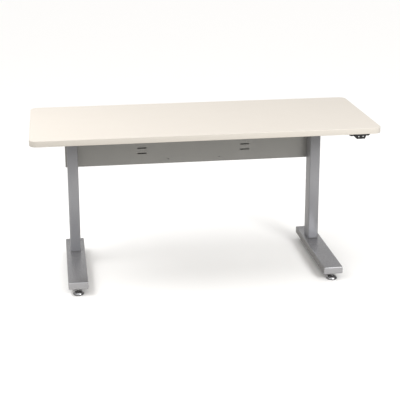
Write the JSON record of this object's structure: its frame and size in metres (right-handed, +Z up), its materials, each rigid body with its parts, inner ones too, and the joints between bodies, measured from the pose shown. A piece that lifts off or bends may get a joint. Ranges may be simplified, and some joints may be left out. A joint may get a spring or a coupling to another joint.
{
  "type": "height adjustable standing desk",
  "caption": "Rectangular laminate worktop with rounded corners on electric telescopic columns with flat silver feet, a closed rear crossbeam, levelling glides and a two-button hand control.",
  "frame": {"origin": "on the floor, under the middle of the worktop", "axes": "+X to the right as the user sits, +Y to the back, +Z up; the desk is at its lowest height"},
  "size_m": [1.524, 0.61, 0.7286],
  "materials": {
    "laminate": "fine satin pebble, off white",
    "edge_band": "satin cream",
    "chipboard": "raw particle board with a white balancing sheet below",
    "silver_paint": "semi-gloss silver metallic powder coat",
    "cap_plastic": "moulded, silver",
    "chrome": "bright plated",
    "zinc": "zinc plated",
    "steel": "drawn, lightly oiled",
    "black_plastic": "moulded, fine grain",
    "nylon": "moulded",
    "bronze": "cast and hobbed",
    "motor_black": "black enamel",
    "cast_alloy": "die cast"
  },
  "bodies": {
    "base": {"foot_tube_left": "silver_paint", "inner_tube_left": "steel", "column_base_left": "steel", "spindle_nut_left": "nylon", "upper_guide_left": "nylon", "foot_cap_front_left": "cap_plastic", "glide_insert_front_left": "zinc", "foot_cap_rear_left": "cap_plastic", "glide_insert_rear_left": "zinc", "foot_tube_right": "silver_paint", "inner_tube_right": "steel", "column_base_right": "steel", "spindle_nut_right": "nylon", "upper_guide_right": "nylon", "foot_cap_front_right": "cap_plastic", "glide_insert_front_right": "zinc", "foot_cap_rear_right": "cap_plastic", "glide_insert_rear_right": "zinc"},
    "lift": {"worktop_core": "chipboard", "worktop_laminate": "laminate", "edge_band": "edge_band", "crossbeam": "silver_paint", "beam_cover": "silver_paint", "control_box": "black_plastic", "power_inlet": "nylon", "handset_case": "black_plastic", "handset_screw_left": "zinc", "handset_screw_right": "zinc", "support_arm_left": "silver_paint", "outer_tube_left": "silver_paint", "lower_guide_left": "nylon", "gearbox_housing_left": "cast_alloy", "motor_left": "motor_black", "spindle_bearing_left": "zinc", "beam_bolt_lower_left": "zinc", "beam_bolt_upper_left": "zinc", "support_arm_right": "silver_paint", "outer_tube_right": "silver_paint", "lower_guide_right": "nylon", "gearbox_housing_right": "cast_alloy", "motor_right": "motor_black", "spindle_bearing_right": "zinc", "beam_bolt_lower_right": "zinc", "beam_bolt_upper_right": "zinc"},
    "spindle_left": {"spindle_left": "steel", "worm_wheel_left": "bronze"},
    "worm_left": {"worm_left": "steel"},
    "glide_pad_front_left": {"glide_pad_front_left": "chrome"},
    "glide_stem_front_left": {"glide_stem_front_left": "zinc"},
    "glide_pad_rear_left": {"glide_pad_rear_left": "chrome"},
    "glide_stem_rear_left": {"glide_stem_rear_left": "zinc"},
    "spindle_right": {"spindle_right": "steel", "worm_wheel_right": "bronze"},
    "worm_right": {"worm_right": "steel"},
    "glide_pad_front_right": {"glide_pad_front_right": "chrome"},
    "glide_stem_front_right": {"glide_stem_front_right": "zinc"},
    "glide_pad_rear_right": {"glide_pad_rear_right": "chrome"},
    "glide_stem_rear_right": {"glide_stem_rear_right": "zinc"},
    "button_up": {"button_up": "black_plastic"},
    "button_down": {"button_down": "black_plastic"}
  },
  "joints": [
    {"name": "lift", "type": "slide", "parent": "base", "child": "lift", "axis": [0, 0, 1], "range_m": [0, 0.45]},
    {"name": "spindle_turn_left", "type": "hinge", "parent": "lift", "child": "spindle_left", "pos_m": [-0.5778, 0.1671, 0.6515], "axis": [0, 0, 1], "range_deg": [0, 13500.5]},
    {"name": "worm_turn_left", "type": "hinge", "parent": "lift", "child": "worm_left", "pos_m": [-0.5778, 0.1471, 0.6515], "axis": [1, 0, 0], "range_deg": [0, 135000.5]},
    {"name": "glide_level_front_left", "type": "slide", "parent": "base", "child": "glide_pad_front_left", "axis": [0, 0, 1], "range_m": [-0.015, 0]},
    {"name": "glide_turn_front_left", "type": "hinge", "parent": "glide_pad_front_left", "child": "glide_stem_front_left", "pos_m": [-0.5778, -0.2258, 0.02], "axis": [0, 0, 1], "range_deg": [-4320.5, 0]},
    {"name": "glide_level_rear_left", "type": "slide", "parent": "base", "child": "glide_pad_rear_left", "axis": [0, 0, 1], "range_m": [-0.015, 0]},
    {"name": "glide_turn_rear_left", "type": "hinge", "parent": "glide_pad_rear_left", "child": "glide_stem_rear_left", "pos_m": [-0.5778, 0.2768, 0.02], "axis": [0, 0, 1], "range_deg": [-4320.5, 0]},
    {"name": "spindle_turn_right", "type": "hinge", "parent": "lift", "child": "spindle_right", "pos_m": [0.5778, 0.1671, 0.6515], "axis": [0, 0, 1], "range_deg": [0, 13500.5]},
    {"name": "worm_turn_right", "type": "hinge", "parent": "lift", "child": "worm_right", "pos_m": [0.5778, 0.1471, 0.6515], "axis": [1, 0, 0], "range_deg": [0, 135000.5]},
    {"name": "glide_level_front_right", "type": "slide", "parent": "base", "child": "glide_pad_front_right", "axis": [0, 0, 1], "range_m": [-0.015, 0]},
    {"name": "glide_turn_front_right", "type": "hinge", "parent": "glide_pad_front_right", "child": "glide_stem_front_right", "pos_m": [0.5778, -0.2258, 0.02], "axis": [0, 0, 1], "range_deg": [-4320.5, 0]},
    {"name": "glide_level_rear_right", "type": "slide", "parent": "base", "child": "glide_pad_rear_right", "axis": [0, 0, 1], "range_m": [-0.015, 0]},
    {"name": "glide_turn_rear_right", "type": "hinge", "parent": "glide_pad_rear_right", "child": "glide_stem_rear_right", "pos_m": [0.5778, 0.2768, 0.02], "axis": [0, 0, 1], "range_deg": [-4320.5, 0]},
    {"name": "press_up", "type": "slide", "parent": "lift", "child": "button_up", "axis": [0, 1, 0], "range_m": [0, 0.001], "stiffness_N_per_m": 900, "springref_m": -0.0006},
    {"name": "press_down", "type": "slide", "parent": "lift", "child": "button_down", "axis": [0, 1, 0], "range_m": [0, 0.001], "stiffness_N_per_m": 900, "springref_m": -0.0006}
  ],
  "couplings": [
    {"joint": "spindle_turn_left", "follows": "lift", "rad_per_m": 523.6},
    {"joint": "worm_turn_left", "follows": "lift", "rad_per_m": 5236},
    {"joint": "glide_turn_front_left", "follows": "glide_level_front_left", "rad_per_m": 5026.5},
    {"joint": "glide_turn_rear_left", "follows": "glide_level_rear_left", "rad_per_m": 5026.5},
    {"joint": "spindle_turn_right", "follows": "lift", "rad_per_m": 523.6},
    {"joint": "worm_turn_right", "follows": "lift", "rad_per_m": 5236},
    {"joint": "glide_turn_front_right", "follows": "glide_level_front_right", "rad_per_m": 5026.5},
    {"joint": "glide_turn_rear_right", "follows": "glide_level_rear_right", "rad_per_m": 5026.5}
  ]
}
